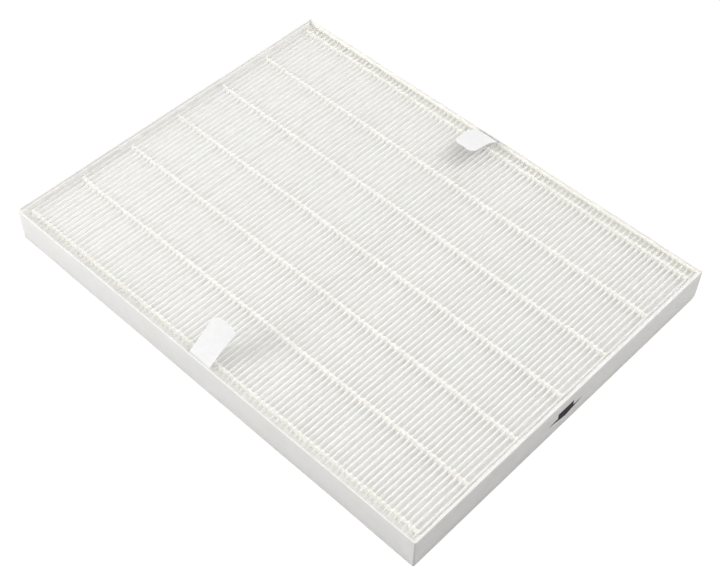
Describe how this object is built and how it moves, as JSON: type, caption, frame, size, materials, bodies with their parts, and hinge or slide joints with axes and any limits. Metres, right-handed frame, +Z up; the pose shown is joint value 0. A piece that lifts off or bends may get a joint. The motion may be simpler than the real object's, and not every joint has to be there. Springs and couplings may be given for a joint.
{
  "type": "hepa filter panel",
  "caption": "Flat pleated air filter panel in a thin white nonwoven band, with hot-melt separator lines and pull tabs for lifting it out.",
  "frame": {"origin": "under the middle of the panel, on the plane of the band's lower rim", "axes": "+X across the panel along the folds, +Y along the panel's length, +Z up through its depth"},
  "size_m": [0.32, 0.416, 0.0476],
  "materials": {
    "band_nonwoven": "matte pressed nonwoven",
    "filter_paper": "matte glass fibre paper",
    "hot_melt": "satin hot melt",
    "seal_glue": "satin hot melt, slightly cream",
    "tab_nonwoven": "thin smooth nonwoven"
  },
  "bodies": {
    "root": {"frame_band": "band_nonwoven", "pleated_media": "filter_paper", "upper_separator_1": "hot_melt", "upper_separator_2": "hot_melt", "upper_separator_3": "hot_melt", "upper_separator_4": "hot_melt", "upper_separator_5": "hot_melt", "upper_separator_6": "hot_melt", "upper_separator_7": "hot_melt", "lower_separator_1": "hot_melt", "lower_separator_2": "hot_melt", "lower_separator_3": "hot_melt", "lower_separator_4": "hot_melt", "lower_separator_5": "hot_melt", "lower_separator_6": "hot_melt", "lower_separator_7": "hot_melt", "left_side_seal": "seal_glue", "right_side_seal": "seal_glue", "front_end_adhesive": "seal_glue", "back_end_adhesive": "seal_glue", "left_pull_tab": "tab_nonwoven", "right_pull_tab": "tab_nonwoven"}
  },
  "joints": []
}
